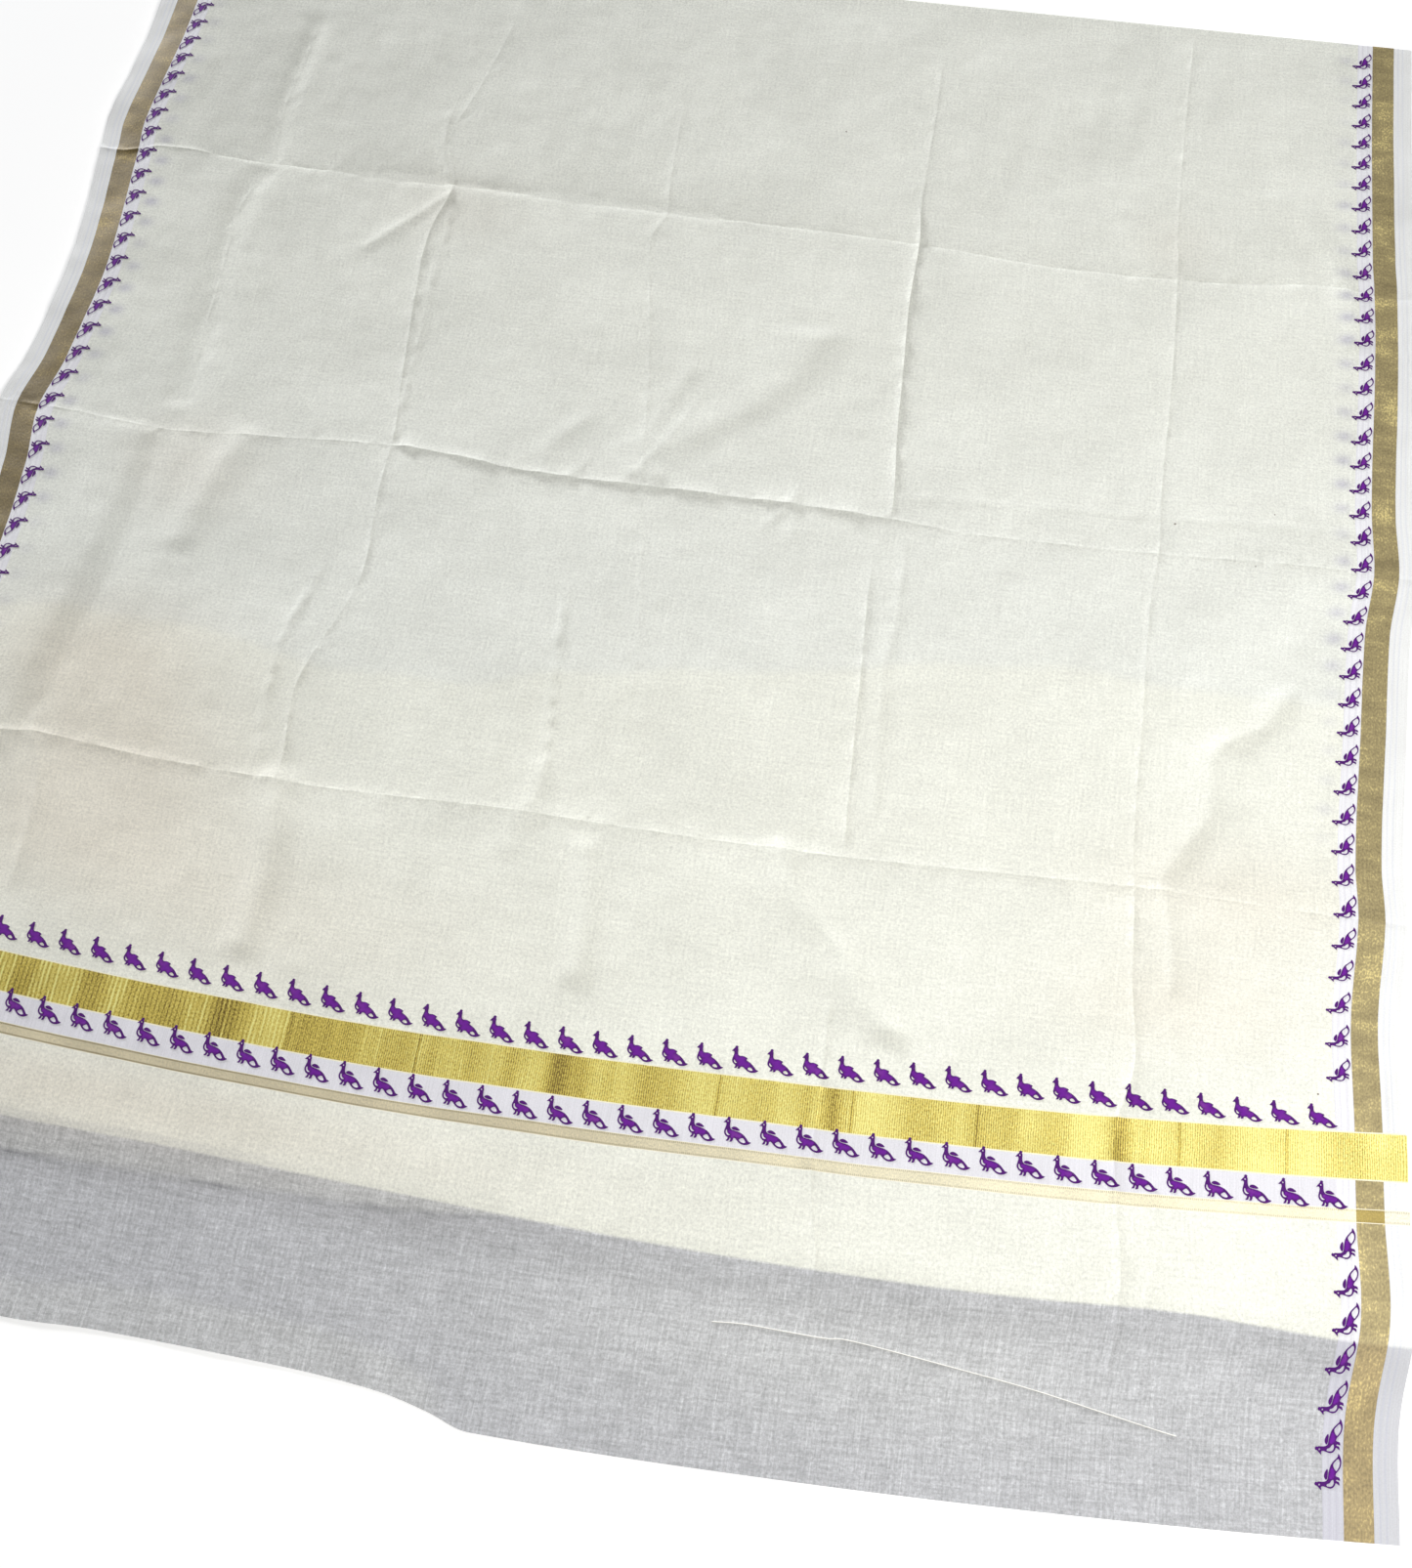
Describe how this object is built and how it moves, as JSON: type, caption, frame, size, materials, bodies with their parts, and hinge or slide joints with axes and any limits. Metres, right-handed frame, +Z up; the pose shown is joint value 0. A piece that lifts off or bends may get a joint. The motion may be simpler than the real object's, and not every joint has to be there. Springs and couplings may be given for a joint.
{
  "type": "cotton saree laid flat",
  "caption": "Cream cotton saree laid flat over its own folds, with gold side stripes, printed peacock rows and a gold pallu band.",
  "frame": {"origin": "centre of the outline on the surface that the saree lies on", "axes": "+X across the cloth towards its right selvedge, +Y along it from the cut pallu end to the far fold, +Z up"},
  "size_m": [1.1638, 1.3186, 0.0069],
  "materials": {
    "cream_cotton": "fine plain weave with slubs, matte",
    "sheer_cotton": "single sheer layer, plain weave, matte",
    "white_selvedge": "bluish white close weave, matte",
    "print_ground": "white close weave tinted lavender",
    "zari_stripe": "olive gold metallic yarn, grainy glints",
    "zari_band": "bright gold metallic yarn, ribbed",
    "narrow_band": "beige band with thin gold edge lines",
    "purple_ink": "printed ink on cotton, matte",
    "hidden_cotton": "fine plain weave, matte"
  },
  "bodies": {
    "root": {"field_stretch_1": "cream_cotton", "field_stretch_2": "cream_cotton", "field_stretch_3": "cream_cotton", "field_stretch_4": "cream_cotton", "pallu_end": "cream_cotton", "end_flap": "sheer_cotton", "turned_edge": "sheer_cotton", "selvedge_left": "white_selvedge", "selvedge_end_left": "white_selvedge", "selvedge_middle_left": "white_selvedge", "selvedge_middle_right": "white_selvedge", "selvedge_right": "white_selvedge", "selvedge_end_right": "white_selvedge", "gold_border_left": "zari_stripe", "gold_border_end_left": "zari_stripe", "gold_border_middle_left": "zari_stripe", "gold_border_middle_right": "zari_stripe", "gold_border_right": "zari_stripe", "gold_border_end_right": "zari_stripe", "print_strip_left": "print_ground", "print_strip_end_left": "print_ground", "print_strip_right": "print_ground", "print_strip_end_right": "print_ground", "pallu_print_band": "print_ground", "pallu_gold_band": "zari_band", "pallu_narrow_band": "narrow_band", "folded_layers": "hidden_cotton"}
  },
  "joints": []
}
